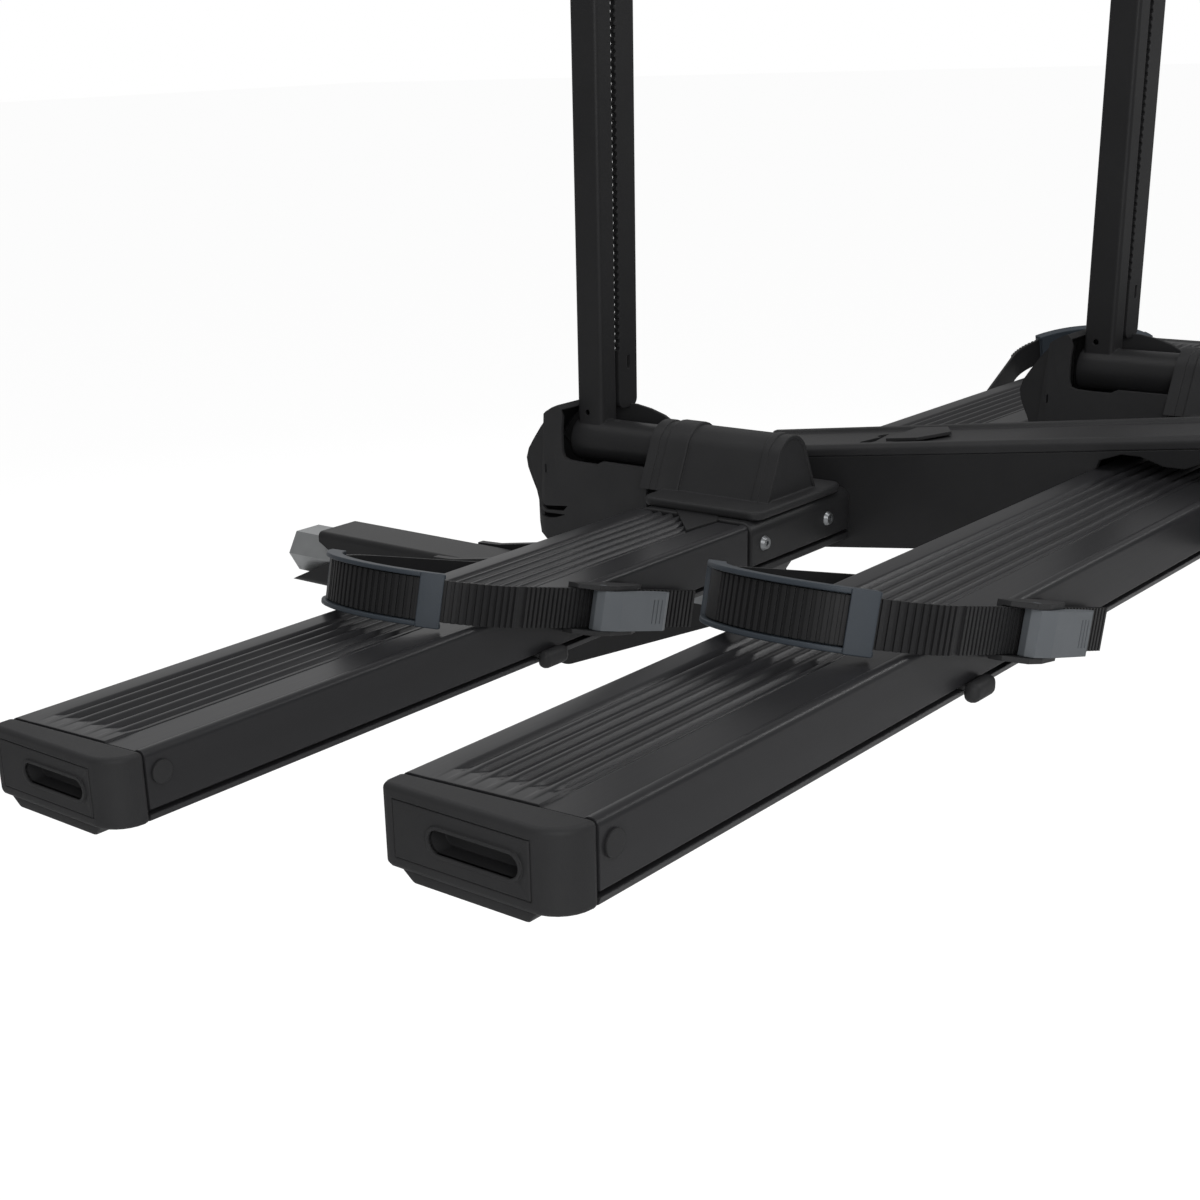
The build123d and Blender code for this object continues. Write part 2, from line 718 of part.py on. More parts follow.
def mast_parts(letter, row, station_x):
    """Bearing dome, guard, mast with its tube, ratchet bar, cap, slider and hook of one tray."""
    tray_y = centre_of(row)
    crest = crest_of(row)
    axle_z = crest + axle_rise
    mast_y = tray_y + mast_offset

    # Dome: flange on the bracket and a drafted arch that carries the tube
    with BuildPart() as dome:
        with BuildSketch(Plane.XY.offset(crest)):
            with Locations((station_x, tray_y + (dome_front - flange_back) / 2)):
                RectangleRounded(flange_width, dome_front + flange_back, 9)
        extrude(amount=flange_thickness)
        fillet(dome.faces().sort_by(Axis.Z)[-1].edges(), 2)
        with BuildSketch(Plane.XZ.offset(dome_back - tray_y)) as arch:
            with BuildSketch(mode=Mode.PRIVATE) as arch_frame:
                with Locations((station_x, axle_z)):
                    Circle(dome_radius)
                with Locations((station_x, crest + flange_thickness - 0.5)):
                    Rectangle(dome_foot_width, 1)
            make_hull(arch_frame.sketch.edges())
        extrude(amount=-dome_front - dome_back)
        arch_face = dome.faces().filter_by(Axis.Y).sort_by(Axis.Z)[-2:].sort_by(Axis.Y)[0]
        fillet(arch_face.edges().sort_by(Axis.Z)[1:], 3)
        for ring_y in (tray_y - dome_back + 5, tray_y + dome_front - 13):
            with BuildSketch(Plane.XZ.offset(-ring_y)):
                with BuildSketch(mode=Mode.PRIVATE) as ring_frame:
                    with Locations((station_x, axle_z)):
                        Circle(dome_radius + 1.2)
                    with Locations((station_x, crest + flange_thickness - 0.5)):
                        Rectangle(dome_foot_width + 2.4, 1)
                make_hull(ring_frame.sketch.edges())
            extrude(amount=-12)
        with BuildSketch(Plane.XZ.offset(dome_back - tray_y - 4)):
            with Locations((station_x, axle_z)):
                Circle(axle_bore)
        extrude(amount=-dome_front - dome_back, mode=Mode.SUBTRACT)
    dome.part.label = f"dome_{letter}"
    export_step(dome.part, f"parts/dome_{letter}.step")

    # Guard: open tray with a raised nose, two side walls and a skin round the front
    guard_y = tray_y + dome_front
    near_wall = station_x - guard_near
    far_wall = station_x + guard_far
    with BuildPart() as guard:
        with BuildSketch(Plane.YZ.offset(near_wall)) as near_outline:
            with BuildLine():
                Polyline(
                    (guard_y + 0.2, crest - 26),
                    (guard_y + 0.2, crest + 16.5),
                    (guard_y + 35, crest + 16.5),
                    (guard_y + 42, crest + 11.5),
                    (guard_y + 72, crest + 11.5),
                    (guard_y + 73.5, crest + 46),
                    (guard_y + 84, crest + 36),
                    (guard_y + 112, crest + 9),
                    (guard_y + 103, crest - 24),
                    (guard_y + 101, crest - 44),
                    (guard_y + 30, crest - 44),
                    close=True,
                )
            make_face()
        extrude(amount=guard_far + guard_near)
        with BuildSketch(Plane.YZ.offset(near_wall + guard_wall)):
            with BuildLine():
                Polyline(
                    (guard_y - 1, crest - 26 + guard_wall),
                    (guard_y - 1, crest + 60),
                    (guard_y + 72.2, crest + 60),
                    (guard_y + 72.2, crest + 43.5),
                    (guard_y + 82, crest + 34),
                    (guard_y + 109, crest + 8),
                    (guard_y + 100.4, crest - 24),
                    (guard_y + 98.4, crest - 44 + guard_wall),
                    (guard_y + 31, crest - 44 + guard_wall),
                    close=True,
                )
            make_face()
        extrude(amount=guard_far + guard_near - 2 * guard_wall, mode=Mode.SUBTRACT)
        with BuildSketch(Plane.YZ.offset(far_wall - guard_wall)):
            with BuildLine():
                Polyline(
                    (guard_y + 0.2, crest + 10),
                    (guard_y + 0.2, crest + 20),
                    (guard_y + 40, crest + 33),
                    (guard_y + 73.5, crest + 42),
                    (guard_y + 84, crest + 30),
                    (guard_y + 80, crest + 8),
                    close=True,
                )
            make_face()
        extrude(amount=guard_wall)
    guard.part.label = f"shroud_{letter}"
    export_step(guard.part, f"parts/shroud_{letter}.step")

    # Mast: round tube in the dome with the square upright welded on it, lugs for the ratchet bar
    bar_near = station_x + mast_width / 2 + bar_gap
    bar_y = mast_y - mast_depth / 2 + bar_thickness / 2
    with BuildPart() as mast:
        with BuildSketch(Plane.XY.offset(axle_z)):
            with Locations((station_x, mast_y)):
                RectangleRounded(mast_width, mast_depth, 3)
        extrude(amount=mast_height)
        with BuildSketch(Plane.XZ.offset(dome_back - tray_y - 4.5)):
            with Locations((station_x, axle_z)):
                Circle(axle_radius)
        extrude(amount=-axle_front - dome_back + 4.5)
        with BuildSketch(Plane.XY.offset(axle_z + axle_radius + 2)):
            with Locations((station_x, mast_y)):
                RectangleRounded(mast_width - 2 * mast_wall, mast_depth - 2 * mast_wall, 1.2)
        extrude(amount=mast_height, mode=Mode.SUBTRACT)
        with BuildSketch(Plane.XZ.offset(dome_back - tray_y)):
            with Locations((station_x, axle_z)):
                Circle(axle_radius - axle_wall)
        extrude(amount=-axle_front - dome_back - 20, mode=Mode.SUBTRACT)
        for lug_z in (axle_z + bar_start + 14, axle_z + mast_height - 24):
            with BuildSketch(Plane.YZ.offset(station_x + mast_width / 2)):
                with Locations((bar_y + bar_thickness / 2 + 2, lug_z)):
                    Rectangle(4, 10)
            extrude(amount=bar_gap + bar_width - 6)
        with BuildSketch(Plane.YZ.offset(station_x - mast_width / 2)):
            with Locations((mast_y + 2, axle_z + axle_radius + 5)):
                Circle(2)
        extrude(amount=mast_wall + 1, mode=Mode.SUBTRACT)
    mast.part.label = f"mast_{letter}"
    export_step(mast.part, f"parts/mast_{letter}.step")

    # Ratchet bar: flat bar with teeth towards the upright and a slot near its foot
    bar_bottom = axle_z + bar_start
    bar_length = mast_height - bar_start - 8
    tooth_count = int((bar_length - 60) / tooth_pitch)
    with BuildPart() as bar:
        with BuildSketch(Plane.XZ.offset(bar_thickness / 2 - bar_y)):
            with Locations((bar_near + bar_width / 2, bar_bottom + bar_length / 2)):
                RectangleRounded(bar_width, bar_length, 6)
            with Locations((bar_near, bar_bottom + 40 + tooth_count * tooth_pitch / 2)):
                with GridLocations(1, tooth_pitch, 1, tooth_count):
                    Circle(tooth_depth * 0.7, mode=Mode.SUBTRACT)
            with Locations((bar_near + bar_width * 0.55, bar_bottom + 32)):
                SlotOverall(10, 3.4, rotation=90, mode=Mode.SUBTRACT)
        extrude(amount=-bar_thickness)
    bar.part.label = f"toothed_bar_{letter}"
    export_step(bar.part, f"parts/toothed_bar_{letter}.step")

    # Plug in the upright's open top
    with BuildPart() as mast_cap:
        with BuildSketch(Plane.XY.offset(axle_z + mast_height)):
            with Locations((station_x, mast_y)):
                RectangleRounded(mast_width, mast_depth, 3)
        extrude(amount=4)
        fillet(mast_cap.faces().sort_by(Axis.Z)[-1].edges(), 2)
        with BuildSketch(Plane.XY.offset(axle_z + mast_height)):
            with Locations((station_x, mast_y)):
                RectangleRounded(mast_width - 2 * mast_wall - 0.6, mast_depth - 2 * mast_wall - 0.6, 1)
        extrude(amount=-12)
    mast_cap.part.label = f"mast_cap_{letter}"
    export_step(mast_cap.part, f"parts/mast_cap_{letter}.step")

    # Slider: sleeve that runs on the upright and the ratchet bar
    slider_z = axle_z + mast_height - slider_drop[letter]
    slider_depth = mast_depth + 2 * (slide_gap + slider_wall)
    slider_near = station_x - mast_width / 2 - slide_gap - slider_wall
    slider_far = bar_near + bar_width + slide_gap + slider_wall
    with BuildPart() as slider:
        with BuildSketch(Plane.XY.offset(slider_z)):
            with Locations(((slider_near + slider_far) / 2, mast_y)):
                RectangleRounded(slider_far - slider_near, slider_depth, 4)
            with Locations((station_x, mast_y)):
                Rectangle(mast_width + 2 * slide_gap, mast_depth + 2 * slide_gap, mode=Mode.SUBTRACT)
            with Locations((bar_near + bar_width / 2, bar_y + 2)):
                Rectangle(bar_width + 2 * slide_gap, bar_thickness + 4 + 2 * slide_gap, mode=Mode.SUBTRACT)
            with Locations((bar_near - bar_gap / 2, bar_y + 2)):
                Rectangle(bar_gap + 2, bar_thickness + 4 + 2 * slide_gap, mode=Mode.SUBTRACT)
        extrude(amount=slider_height)
        chamfer(slider.faces().sort_by(Axis.Z)[-1].outer_wire().edges(), 1)
    slider.part.label = f"slider_{letter}"
    export_step(slider.part, f"parts/slider_{letter}.step")

    # Hook: round bar that reaches from the slider over the tray and turns down
    hook_y = mast_y - slider_depth / 2
    with BuildPart() as hook:
        with BuildLine():
            hook_path = FilletPolyline(
                (station_x + hook_shift, hook_y, slider_z + slider_height / 2),
                (station_x + hook_shift, hook_y - hook_reach, slider_z + slider_height / 2 + 20),
                (station_x + hook_shift, hook_y - hook_reach - 12, slider_z - 15),
                radius=28,
            )
        with BuildSketch(Plane(origin=hook_path @ 0, z_dir=hook_path % 0)):
            Circle(hook_radius)
        sweep()
        with Locations(hook_path @ 1):
            Sphere(hook_radius)
        with BuildSketch(Plane.XZ.offset(-hook_y)):
            Rectangle(600, 4000)
        extrude(amount=-30, mode=Mode.SUBTRACT)
    hook.part.label = f"hook_{letter}"
    export_step(hook.part, f"parts/hook_{letter}.step")


for letter, row, station_x in stations:
    mast_parts(letter, row, station_x)


def sector(centre, inner, outer, start, size):
    """Face between two radii and two angles."""
    with BuildSketch(mode=Mode.PRIVATE) as ring:
        with BuildLine():
            rim = CenterArc(centre, outer, start, size)
            root = CenterArc(centre, inner, start, size)
            Line(rim @ 0, root @ 0)
            Line(rim @ 1, root @ 1)
        make_face()
    return ring.sketch


def strap_parts(name, row, side, strap_x):
    """Ladder strap with its groove sliders, guide frame, buckle body and lever."""
    tray_y = centre_of(row)
    crest = crest_of(row)
    base = (strap_x, tray_y - half_tray - strap_stand_off, crest - strap_drop)
    flat = Plane(
        origin=base,
        x_dir=(side * cos(lean), 0, -sin(lean)),
        z_dir=(sin(lean), 0, side * cos(lean)),
    )
    centre = (-strap_leg, strap_radius)
    open_angle = 90 - strap_return_turn
    sweep_angle = 270 - open_angle
    rung_radius = strap_radius + strap_core / 2 + rung_height / 2 - 0.1
    arc_rungs = int(radians(sweep_angle) * strap_radius / rung_pitch)
    leg_rungs = int((strap_leg + strap_tail) / rung_pitch)

    # Strap: smooth core with rungs on its outer side, all of one moulding
    with BuildPart() as strap:
        with BuildSketch(flat):
            with BuildLine():
                Line((strap_tail, 0), (-strap_leg, 0))
                arch = CenterArc(centre, strap_radius, open_angle, sweep_angle)
                PolarLine(arch @ 0, strap_return, angle=-strap_return_turn)
            trace(line_width=strap_core)
            with Locations(centre):
                with PolarLocations(rung_radius, arc_rungs, open_angle + 2, sweep_angle - 4):
                    Rectangle(rung_height, rung_width)
            with Locations(((strap_tail - strap_leg) / 2, -rung_radius + strap_radius)):
                with GridLocations(rung_pitch, 1, leg_rungs, 1):
                    Rectangle(rung_width, rung_height)
        extrude(amount=strap_width / 2, both=True)
    strap.part.label = f"strap_{name}"
    export_step(strap.part, f"parts/strap_{name}.step")

    # Guide: curved frame round the strap with a window and a cross band
    inner_face = strap_radius - strap_core / 2 - 0.4
    outer_face = strap_radius + strap_core / 2 + rung_height + 0.4
    with BuildPart() as guide:
        with BuildSketch(flat):
            add(sector(centre, inner_face - guide_wall, outer_face + guide_wall, guide_start, guide_sweep))
        extrude(amount=guide_height / 2, both=True)
        with BuildSketch(flat):
            add(sector(centre, inner_face, outer_face, guide_start - 5, guide_sweep + 10))
        extrude(amount=strap_width / 2 + 0.4, both=True, mode=Mode.SUBTRACT)
        with BuildSketch(flat):
            add(sector(centre, outer_face - 1, outer_face + 9, guide_start + 9, guide_sweep - 22))
        extrude(amount=strap_width / 2 - 1.5, both=True, mode=Mode.SUBTRACT)
    guide.part.label = f"guide_{name}"
    export_step(guide.part, f"parts/guide_{name}.step")

    # Buckle body: back plate behind the strap and two ears that carry the lever's pin
    plate_near = strap_core / 2 + 0.4
    ear_inner = strap_width / 2 + 0.4
    with BuildPart() as buckle:
        with BuildSketch(flat) as ear:
            with BuildLine():
                Polyline(
                    (-4, plate_near + buckle_wall),
                    (buckle_length - 4, plate_near + buckle_wall),
                    (buckle_length, -2),
                    (buckle_length - 12, -8),
                    (18, -13.5),
                    (4, -13),
                    (-4, -3),
                    close=True,
                )
            make_face()
            fillet(ear.vertices().group_by(Axis.Y)[0], 3)
        extrude(amount=ear_inner + buckle_wall, both=True)
        with BuildSketch(flat):
            with Locations((buckle_length / 2, plate_near - 25)):
                Rectangle(buckle_length * 2, 50)
        extrude(amount=ear_inner, both=True, mode=Mode.SUBTRACT)
        with BuildSketch(flat):
            with Locations((lever_pivot_x, -lever_pivot_y)):
                Circle(lever_pin_radius + pin_gap)
        extrude(amount=ear_inner + buckle_wall, both=True, mode=Mode.SUBTRACT)
    buckle.part.label = f"buckle_base_{name}"
    export_step(buckle.part, f"parts/buckle_base_{name}.step")

    # Lever: slate plate on a cross pin, with three finger grooves at its free end
    with BuildPart() as lever:
        with BuildSketch(flat) as blade:
            with BuildLine():
                Polyline(
                    (lever_pivot_x - 3, -lever_pivot_y + 4),
                    (lever_pivot_x + 8, -lever_pivot_y + 2.5),
                    (lever_length - 2, -lever_pivot_y),
                    (lever_length + 8, -lever_pivot_y - 1),
                    (lever_length + 10, -lever_pivot_y - 3),
                    (lever_length + 4, -lever_pivot_y - 5.5),
                    (lever_pivot_x + 12, -lever_pivot_y - 6.5),
                    (lever_pivot_x - 3, -lever_pivot_y - 4.5),
                    (lever_pivot_x - 4.6, -lever_pivot_y),
                    close=True,
                )
            make_face()
            fillet(blade.vertices().group_by(Axis.Y)[0], 4)
        extrude(amount=ear_inner - slide_gap, both=True)
        with BuildSketch(flat):
            with Locations((lever_length - 4, -lever_pivot_y - 6)):
                with GridLocations(4, 1, 3, 1):
                    Rectangle(1.2, 1.6)
        extrude(amount=7, both=True, mode=Mode.SUBTRACT)
        with BuildSketch(flat):
            with Locations((lever_pivot_x, -lever_pivot_y)):
                Circle(lever_pin_radius)
        extrude(amount=ear_inner + buckle_wall, both=True)
    lever.part.label = f"lever_{name}"
    export_step(lever.part, f"parts/lever_{name}.step")

    # Groove sliders: one foot beside the buckle and one at the fixed end of the strap
    foot_height = 14.5
    rear_face = tray_y - half_tray - seat_gap
    front_face = tray_y + half_tray + seat_gap
    groove_z = crest - side_groove_drop
    tongue = side_groove_height - 2 * seat_gap
    with BuildPart() as sliders:
        with BuildSketch(Plane.YZ.offset(strap_x - side * 38)):
            with Locations((rear_face - 5.5, groove_z + 0.5)):
                RectangleRounded(11, foot_height, 3)
            with Locations((rear_face + side_groove_depth / 2 - 1, groove_z)):
                Rectangle(side_groove_depth + 2 - seat_gap, tongue)
        extrude(amount=side * 29.5)
        with BuildSketch(Plane.YZ.offset(strap_x + side * 50)):
            with Locations((front_face + 1.1, groove_z + 2.5)):
                Rectangle(2.2, foot_height)
            with Locations((front_face - side_groove_depth / 2 + 1, groove_z)):
                Rectangle(side_groove_depth + 2 - seat_gap, tongue)
        extrude(amount=side * 20)
    sliders.part.label = f"groove_sliders_{name}"
    export_step(sliders.part, f"parts/groove_sliders_{name}.step")


for letter, row in (("a", 0), ("b", 1)):
    strap_parts(f"{letter}_near", row, 1, strap_near_x)
    strap_parts(f"{letter}_far", row, -1, strap_far_x)
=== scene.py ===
from math import cos, radians, sin

import bpy
from mathutils import Matrix, Vector


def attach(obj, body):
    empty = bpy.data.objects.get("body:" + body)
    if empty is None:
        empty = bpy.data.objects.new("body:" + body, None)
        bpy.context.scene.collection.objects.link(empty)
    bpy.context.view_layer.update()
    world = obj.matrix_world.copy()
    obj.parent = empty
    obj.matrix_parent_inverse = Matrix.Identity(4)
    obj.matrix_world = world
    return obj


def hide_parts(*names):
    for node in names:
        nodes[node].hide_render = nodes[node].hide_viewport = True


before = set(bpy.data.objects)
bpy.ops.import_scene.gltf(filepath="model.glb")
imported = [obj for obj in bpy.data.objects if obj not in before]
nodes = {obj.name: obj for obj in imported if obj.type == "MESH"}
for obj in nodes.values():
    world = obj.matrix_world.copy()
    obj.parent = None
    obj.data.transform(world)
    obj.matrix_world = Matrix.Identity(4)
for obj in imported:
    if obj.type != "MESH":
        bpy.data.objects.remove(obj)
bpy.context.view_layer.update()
bpy.ops.object.select_all(action="DESELECT")


# Shank, yoke, beam, brackets, masts and ratchet bars: welded steel tube and plate under a sprayed
# and baked black powder coat. It is satin, with a faint orange-peel ripple of 1.6 mm and edges
# that the coat has rounded a little.
def linear(code):
    """An sRGB hex colour as the linear colour that a shader takes."""
    channels = [int(code[i:i + 2], 16) / 255 for i in (1, 3, 5)]
    return tuple(c / 12.92 if c <= 0.04045 else ((c + 0.055) / 1.055) ** 2.4 for c in channels) + (1.0,)


def add_node(material, kind, values=(), links=(), **settings):
    """A shader node with its settings, socket values and links to earlier nodes."""
    node = material.node_tree.nodes.new("ShaderNode" + kind)
    for name, value in settings.items():
        setattr(node, name, value)
    for socket, value in dict(values).items():
        node.inputs[socket].default_value = value
    for socket, (source, output) in dict(links).items():
        material.node_tree.links.new(source.outputs[output], node.inputs[socket])
    return node


def finish_of(
    name, dark, light, grain, bump, roughness, stretch=(1, 1, 1), edge=0.0005, metallic=0.0, specular=0.18
):
    """A surface whose grain, in metres, varies its colour, its roughness and its height."""
    material = bpy.data.materials.new(name)
    material.use_nodes = True
    shader = material.node_tree.nodes["Principled BSDF"]
    place = add_node(material, "TexCoord")
    spread = add_node(material, "Mapping", {"Scale": stretch}, {"Vector": (place, "Object")})
    fine = add_node(
        material,
        "TexNoise",
        {"Scale": 1 / grain, "Detail": 3.0, "Roughness": 0.6},
        {"Vector": (spread, "Vector")},
    )
    broad = add_node(
        material, "TexNoise", {"Scale": 0.03 / grain, "Detail": 2.0}, {"Vector": (spread, "Vector")}
    )
    blend = add_node(
        material, "MixRGB", {"Color1": linear(dark), "Color2": linear(light)}, {"Fac": (broad, "Fac")}
    )
    gloss = add_node(
        material,
        "MapRange",
        {"To Min": roughness[0], "To Max": roughness[1]},
        {"Value": (fine, "Fac")},
    )
    rounded = add_node(material, "Bevel", {"Radius": edge}, samples=4)
    relief = add_node(
        material,
        "Bump",
        {"Strength": bump, "Distance": grain * 0.2},
        {"Height": (fine, "Fac"), "Normal": (rounded, "Normal")},
    )
    links = material.node_tree.links
    links.new(blend.outputs["Color"], shader.inputs["Base Color"])
    links.new(gloss.outputs["Result"], shader.inputs["Roughness"])
    links.new(relief.outputs["Normal"], shader.inputs["Normal"])
    shader.inputs["Metallic"].default_value = metallic
    shader.inputs["Specular IOR Level"].default_value = specular
    return material


def dress(material, *names):
    """Gives CAD nodes their finish."""
    for name in names:
        mesh = nodes[name].data
        mesh.materials.clear()
        mesh.materials.append(material)


powder_coat = finish_of(
    "powder_coated_steel",
    "#212122",
    "#29292a",
    grain=0.0016,
    bump=0.18,
    roughness=(0.36, 0.46),
    edge=0.0011,
)
dress(powder_coat, "hitch_tube", "yoke", "spine_shell", "spine_belly", "spine_knuckle")
dress(powder_coat, "bracket_a", "bracket_b", "mast_a", "mast_b", "toothed_bar_a", "toothed_bar_b")

# Wedge at the shank's open end, a machined steel bar with a dull pale zinc plate, mottled where
# the bath left it. The draw rod, the pivot bolt and the bracket screws are plain stainless,
# turned and tumbled. Both grains are drawn coarser than the real ones, so that they show.
zinc = finish_of(
    "zinc_plated_steel",
    "#8f9192",
    "#adafb0",
    grain=0.0009,
    bump=0.12,
    roughness=(0.34, 0.5),
    metallic=0.85,
)
stainless = finish_of(
    "stainless_button_heads",
    "#77797b",
    "#96989a",
    grain=0.0006,
    bump=0.08,
    roughness=(0.3, 0.42),
    metallic=0.9,
)
dress(zinc, "anti_rattle_wedge")
dress(stainless, "wedge_rod", "pivot_bolt", "bracket_screws")

# Small mouldings: plugs, cover plate, end covers, hook sliders and buckle bodies, in glass-filled
# nylon. The mould's spark-eroded grain leaves them matter than the metal; it is drawn at 0.7 mm,
# coarser than it is, so that it shows.
tray_names = ("a_near", "a_far", "b_near", "b_far")
moulding = finish_of(
    "grained_nylon_moulding",
    "#272728",
    "#2f2f30",
    grain=0.0007,
    bump=0.35,
    roughness=(0.46, 0.6),
    edge=0.0008,
)
dress(moulding, "spine_end_cap", "spine_cover_plate", "side_plugs")
dress(moulding, "mast_cap_a", "mast_cap_b", "slider_a", "slider_b")
dress(moulding, *(f"buckle_base_{tray}" for tray in tray_names))

# Ladder straps, moulded of soft black elastomer and slightly glossy on the rungs where they
# rub, and the sleeves dipped over the hooks' rods.
elastomer = finish_of(
    "moulded_elastomer",
    "#1e1e1f",
    "#272728",
    grain=0.0011,
    bump=0.15,
    roughness=(0.38, 0.52),
    edge=0.0004,
)
dress(elastomer, "hook_a", "hook_b", *(f"strap_{tray}" for tray in tray_names))

# Ratchet levers of the straps: smooth moulded nylon in a pale slate grey, the lightest colour
# on the rack. Each turns on the hinge of its buckle body.
pale_slate = finish_of(
    "pale_slate_nylon",
    "#5c6064",
    "#676b6f",
    grain=0.0009,
    bump=0.15,
    roughness=(0.4, 0.5),
    edge=0.0009,
)
dress(pale_slate, *(f"lever_{tray}" for tray in tray_names))

# Bearing domes of the masts: moulded nylon, a foot flange over the bracket and a ribbed hood
# with a rimmed end face. They are clipped down round the tubes, one on each tray.
def drawn(name, points, depth):
    """A solid drawn point by point as an outline and then pulled out by a depth."""
    bpy.ops.object.select_all(action="DESELECT")
    bpy.ops.mesh.primitive_plane_add(size=0.002, location=points[0])
    piece = bpy.context.object
    piece.name = name
    bpy.ops.object.mode_set(mode="EDIT")
    bpy.ops.mesh.select_mode(type="VERT")
    bpy.ops.mesh.merge(type="CENTER")
    for start, end in zip(points, points[1:] + points[:1]):
        bpy.ops.mesh.extrude_vertices_move(TRANSFORM_OT_translate={"value": Vector(end) - Vector(start)})
    bpy.ops.mesh.select_all(action="SELECT")
    bpy.ops.mesh.remove_doubles(threshold=0.00001)
    bpy.ops.mesh.select_all(action="SELECT")
    bpy.ops.mesh.edge_face_add()
    bpy.ops.mesh.extrude_region_move(TRANSFORM_OT_translate={"value": depth})
    bpy.ops.mesh.select_all(action="SELECT")
    bpy.ops.mesh.normals_make_consistent(inside=False)
    bpy.ops.mesh.select_all(action="DESELECT")
    bpy.ops.object.mode_set(mode="OBJECT")
    bpy.ops.object.transform_apply(location=True, rotation=True, scale=True)
    return piece


def pick(piece, kind, test):
    """Goes into edit mode with only those faces or vertices selected that pass a test."""
    bpy.context.view_layer.objects.active = piece
    bpy.ops.object.mode_set(mode="EDIT")
    bpy.ops.mesh.select_mode(type="FACE" if kind == "faces" else "VERT")
    bpy.ops.mesh.select_all(action="DESELECT")
    bpy.ops.object.mode_set(mode="OBJECT")
    if kind == "faces":
        for face in piece.data.polygons:
            face.select = test(face.center, face.normal)
    else:
        for vertex in piece.data.vertices:
            vertex.select = test(vertex.co)
    bpy.ops.object.mode_set(mode="EDIT")


def soften(piece, width, segments=3, angle=30):
    """Rounds the sharp edges of a piece and smooths its shading."""
    bpy.ops.object.select_all(action="DESELECT")
    piece.select_set(True)
    bpy.context.view_layer.objects.active = piece
    rounding = piece.modifiers.new("rounded_edges", "BEVEL")
    rounding.width = width
    rounding.segments = segments
    rounding.limit_method = "ANGLE"
    rounding.angle_limit = radians(angle)
    bpy.ops.object.modifier_apply(modifier=rounding.name)
    even(piece)


def even(piece, angle=32):
    """Smooth shading below an angle, with flat faces kept flat."""
    bpy.ops.object.select_all(action="DESELECT")
    piece.select_set(True)
    bpy.context.view_layer.objects.active = piece
    bpy.ops.object.shade_smooth_by_angle(angle=radians(angle))
    weights = piece.modifiers.new("even_shading", "WEIGHTED_NORMAL")
    weights.keep_sharp = True
    bpy.ops.object.modifier_apply(modifier=weights.name)


def joined(*pieces):
    """Several drawn solids as the shells of one piece."""
    bpy.ops.object.select_all(action="DESELECT")
    for piece in pieces:
        piece.select_set(True)
    bpy.context.view_layer.objects.active = pieces[0]
    bpy.ops.object.join()
    return pieces[0]


def cut(piece, tool):
    """Takes a drawn solid out of a piece."""
    bpy.ops.object.select_all(action="DESELECT")
    bpy.context.view_layer.objects.active = piece
    opening = piece.modifiers.new("opening", "BOOLEAN")
    opening.operation = "DIFFERENCE"
    opening.solver = "EXACT"
    opening.object = tool
    bpy.ops.object.modifier_apply(modifier=opening.name)
    bpy.data.objects.remove(tool)


def twin_of(piece, name, shift):
    """A copy with its own mesh, moved by a shift."""
    bpy.ops.object.select_all(action="DESELECT")
    piece.select_set(True)
    bpy.context.view_layer.objects.active = piece
    bpy.ops.object.duplicate()
    twin = bpy.context.object
    twin.name = name
    bpy.ops.transform.translate(value=shift)
    bpy.ops.object.transform_apply(location=True, rotation=True, scale=True)
    return twin


def place_piece(piece, material, body, slot, *replaced):
    """Finish and body of a new piece, and hides the CAD nodes it stands for. Its slot is not used."""
    piece.data.materials.clear()
    piece.data.materials.append(material)
    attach(piece, body)
    if replaced:
        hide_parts(*replaced)


tray_y = -0.417
tray_top = 0.1355
row_shift = (0.254, -0.259, 0.0325)
dome_x = -0.100
hood_back = tray_y - 0.037
hood_length = 0.103
hood_foot = tray_top + 0.004
tube_axis = tray_top + 0.027
crown_radius = 0.0185
foot_half_width = 0.030
face_rim_width = 0.0025
face_sink = 0.0008
flange_size = (0.106, 0.093, 0.006)
flange_corner = 0.009


def hood(name, grow, back, length):
    """Arched section on a wide foot, grown outwards, along part of the dome."""
    half = foot_half_width + grow
    crown = crown_radius + grow
    points = [(dome_x - half, back, hood_foot)]
    for step in range(13):
        angle = radians(168 - step * 13)
        points.append((dome_x + crown * cos(angle), back, tube_axis + crown * sin(angle)))
    points.append((dome_x + half, back, hood_foot))
    return drawn(name, points, (0, length, 0))


body_hood = hood("dome_a_hood", 0.0, hood_back, hood_length)
pick(body_hood, "faces", lambda centre, normal: normal.y < -0.9)
bpy.ops.mesh.inset(thickness=face_rim_width)
bpy.ops.mesh.extrude_region_move(TRANSFORM_OT_translate={"value": (0, face_sink, 0)})
bpy.ops.object.mode_set(mode="OBJECT")
soften(body_hood, 0.0009, angle=40)
front_band = hood("front_band", 0.0018, tray_y + 0.034, 0.018)
soften(front_band, 0.0012, angle=40)
lip_band = hood("lip_band", 0.0009, tray_y + 0.058, 0.008)
soften(lip_band, 0.0006, 2, angle=40)
rear_band = hood("rear_band", 0.0008, hood_back + 0.008, 0.005)
soften(rear_band, 0.0005, 2, angle=40)
bpy.ops.object.select_all(action="DESELECT")
bpy.ops.mesh.primitive_cube_add(size=1, location=(dome_x - 0.002, tray_y + 0.0005, tray_top + 0.003))
flange = bpy.context.object
flange.scale = flange_size
bpy.ops.object.transform_apply(location=True, rotation=True, scale=True)
bpy.ops.object.mode_set(mode="EDIT")
bpy.ops.mesh.select_mode(type="EDGE")
bpy.ops.mesh.select_all(action="DESELECT")
bpy.ops.object.mode_set(mode="OBJECT")
for edge in flange.data.edges:
    first, second = (flange.data.vertices[i].co for i in edge.vertices)
    edge.select = abs(first.z - second.z) > flange_size[2] / 2
bpy.ops.object.mode_set(mode="EDIT")
